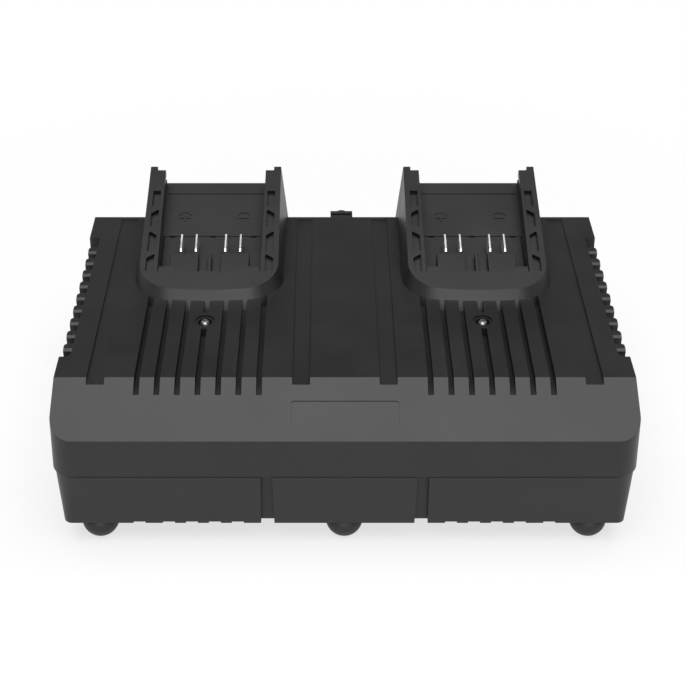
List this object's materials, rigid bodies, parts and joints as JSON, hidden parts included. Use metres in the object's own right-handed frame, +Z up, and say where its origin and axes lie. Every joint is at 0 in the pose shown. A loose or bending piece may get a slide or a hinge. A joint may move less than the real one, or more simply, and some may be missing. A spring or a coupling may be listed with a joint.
{
  "type": "power tool battery charger",
  "caption": "Low wide bench charger for slide-on battery packs, with two tilted docks, grooved top, side vents and rubber feet.",
  "frame": {"origin": "on the bench, under the middle of the charger's bounding box", "axes": "+X across the charger to its right as seen from the front, +Y from its front to its rear, +Z up"},
  "size_m": [0.3026, 0.2402, 0.1192],
  "materials": {
    "housing_plastic": "fine spark-eroded grain",
    "contact_metal": "tinned, satin",
    "foot_rubber": "smooth moulded",
    "gland_rubber": "smooth moulded",
    "screw_steel": "zinc plated",
    "board_laminate": "solder resist on glass laminate",
    "ferrite": "ground ferrite",
    "coil_tape": "polyester tape over enamelled wire",
    "capacitor_sleeve": "shrunk sleeve",
    "copper": "enamelled copper wire",
    "heat_sink_metal": "extruded, plain",
    "fuse_glass": "clear tube with plated caps",
    "lead_insulation": "smooth insulation",
    "fan_plastic": "plain moulded"
  },
  "bodies": {
    "housing": {"upper_housing": "housing_plastic", "lower_housing": "housing_plastic", "left_terminal_block": "housing_plastic", "right_terminal_block": "housing_plastic", "left_positive_contact": "contact_metal", "left_signal_contact": "contact_metal", "left_thermistor_contact": "contact_metal", "left_negative_contact": "contact_metal", "right_positive_contact": "contact_metal", "right_signal_contact": "contact_metal", "right_thermistor_contact": "contact_metal", "right_negative_contact": "contact_metal", "block_screws": "screw_steel", "foot_front_left": "foot_rubber", "foot_front_middle": "foot_rubber", "foot_front_right": "foot_rubber", "foot_rear_left": "foot_rubber", "foot_rear_middle": "foot_rubber", "foot_rear_right": "foot_rubber", "top_screws": "screw_steel", "base_screws": "screw_steel", "cord_gland": "gland_rubber", "gland_nut": "housing_plastic", "main_board": "board_laminate", "board_screws": "screw_steel", "left_transformer_core": "ferrite", "right_transformer_core": "ferrite", "left_transformer_coil": "coil_tape", "right_transformer_coil": "coil_tape", "mains_capacitors": "capacitor_sleeve", "output_capacitors": "capacitor_sleeve", "line_choke": "copper", "left_heat_sink": "heat_sink_metal", "right_heat_sink": "heat_sink_metal", "mains_fuse": "fuse_glass", "left_dock_leads": "lead_insulation", "right_dock_leads": "lead_insulation", "fan_frame": "fan_plastic", "fan_stator": "copper"},
    "fan": {"fan_rotor": "fan_plastic"}
  },
  "joints": [
    {"name": "fan_spin", "type": "hinge", "parent": "housing", "child": "fan", "pos_m": [0.1335, -0.00842, 0.0529], "axis": [1, 0, 0], "continuous": true}
  ]
}
